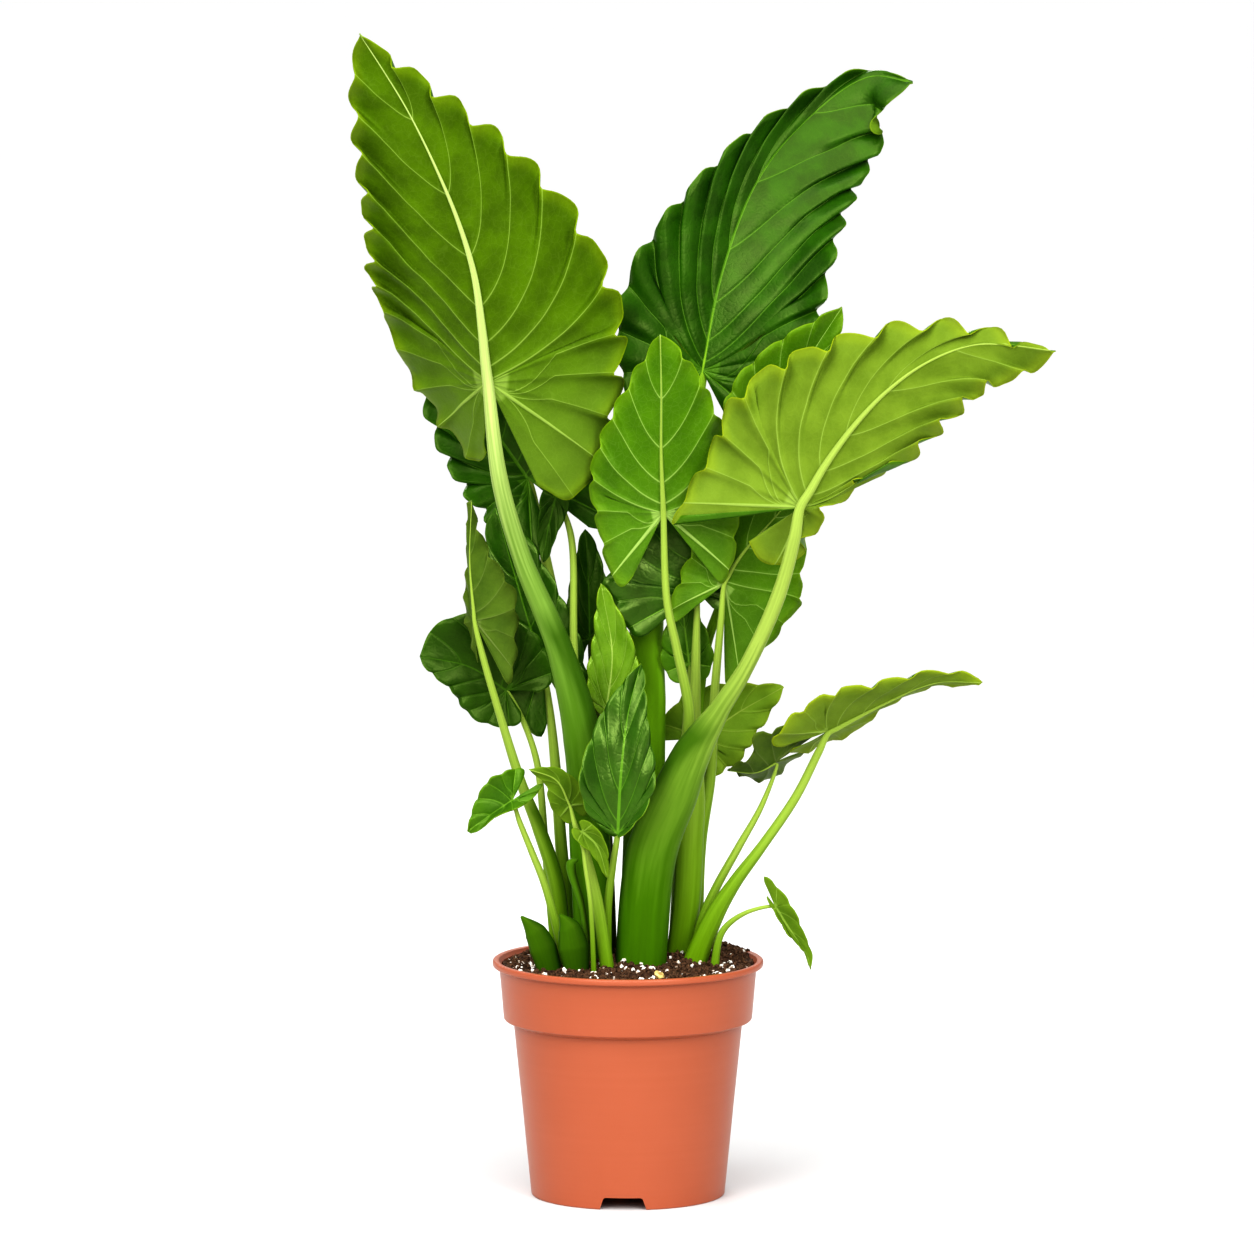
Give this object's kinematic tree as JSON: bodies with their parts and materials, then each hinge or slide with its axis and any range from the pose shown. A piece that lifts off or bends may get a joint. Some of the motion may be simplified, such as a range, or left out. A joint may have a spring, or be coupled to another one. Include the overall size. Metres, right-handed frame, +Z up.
{
  "type": "potted alocasia plant",
  "caption": "Upright leafy plant with large wavy arrow-shaped leaves on long sheathing stalks, growing from peat in a round tapering nursery pot that stands on its foot",
  "frame": {"origin": "the middle of the pot's foot, on the surface that the pot stands on", "axes": "+Z is up, the way the plant grows; -Y is the front, with the big right-hand leaf towards +X"},
  "size_m": [0.6101, 0.2613, 1.0331],
  "materials": {
    "pot_plastic": "satin moulded plastic, terracotta orange",
    "peat": "damp crumbly peat with white perlite",
    "stalk_green": "smooth satin, pale lime green",
    "leaf_palest": "satin, pale yellow green",
    "leaf_underside": "satin, yellow green with pale veins",
    "leaf_dark": "glossy, dark green",
    "leaf_mid": "satin, mid green"
  },
  "bodies": {
    "root": {"leaf_upper_left": "leaf_underside", "stalk_upper_left": "stalk_green", "leaf_upper_right": "leaf_dark", "stalk_upper_right": "stalk_green", "leaf_middle": "leaf_underside", "stalk_middle": "stalk_green", "leaf_right": "leaf_palest", "stalk_right": "stalk_green", "leaf_behind_middle": "leaf_dark", "stalk_behind_middle": "stalk_green", "leaf_behind_right": "leaf_dark", "stalk_behind_right": "stalk_green", "leaf_below_right": "leaf_mid", "stalk_below_right": "stalk_green", "leaf_low_right": "leaf_mid", "stalk_low_right": "stalk_green", "leaf_far_right": "leaf_mid", "stalk_far_right": "stalk_green", "leaf_under_far_right": "leaf_dark", "stalk_under_far_right": "stalk_green", "leaf_lowest_right": "leaf_mid", "stalk_lowest_right": "stalk_green", "leaf_inner_right": "leaf_dark", "stalk_inner_right": "stalk_green", "leaf_behind_left": "leaf_dark", "stalk_behind_left": "stalk_green", "leaf_left_folded": "leaf_underside", "stalk_left_folded": "stalk_green", "leaf_left_round": "leaf_dark", "stalk_left_round": "stalk_green", "leaf_left_dark": "leaf_dark", "stalk_left_dark": "stalk_green", "leaf_low_left": "leaf_mid", "stalk_low_left": "stalk_green", "leaf_small_pale": "leaf_palest", "stalk_small_pale": "stalk_green", "leaf_small_pointed": "leaf_mid", "stalk_small_pointed": "stalk_green", "leaf_front_dark": "leaf_dark", "stalk_front_dark": "stalk_green", "leaf_inner_pale": "leaf_underside", "stalk_inner_pale": "stalk_green", "leaf_inner_brown": "leaf_dark", "stalk_inner_brown": "stalk_green", "leaf_inner_narrow": "leaf_dark", "stalk_inner_narrow": "stalk_green", "scale_leaf_left": "leaf_dark", "scale_leaf_right": "leaf_dark", "spear": "leaf_palest", "pot": "pot_plastic", "soil": "peat"}
  },
  "joints": []
}
